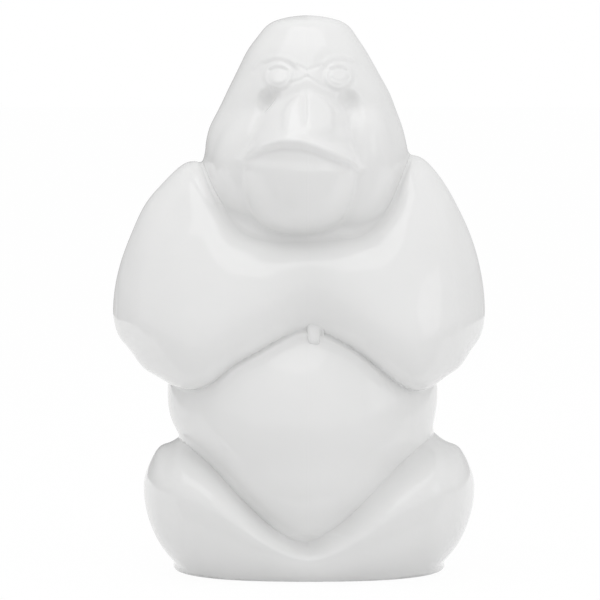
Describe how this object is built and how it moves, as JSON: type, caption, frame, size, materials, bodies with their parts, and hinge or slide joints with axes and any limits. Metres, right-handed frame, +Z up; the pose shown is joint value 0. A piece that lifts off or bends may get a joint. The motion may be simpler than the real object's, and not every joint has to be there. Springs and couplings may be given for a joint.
{
  "type": "seated gorilla ornament",
  "caption": "Seated gorilla ornament with folded arms and crossed legs, hollow glazed ceramic sections luted together on a felted slab.",
  "frame": {"origin": "middle of the felt pad's lower face, on the mould seam, at the level that the ornament rests on", "axes": "+Z up, -Y the way the gorilla looks, +X to the gorilla's own left"},
  "size_m": [0.2039, 0.1535, 0.305],
  "materials": {
    "white_glaze": "gloss",
    "felt": "matte"
  },
  "bodies": {
    "root": {"head": "white_glaze", "torso": "white_glaze", "right_arm": "white_glaze", "left_arm": "white_glaze", "right_leg": "white_glaze", "left_leg": "white_glaze", "plinth": "white_glaze", "felt_pad": "felt"}
  },
  "joints": []
}
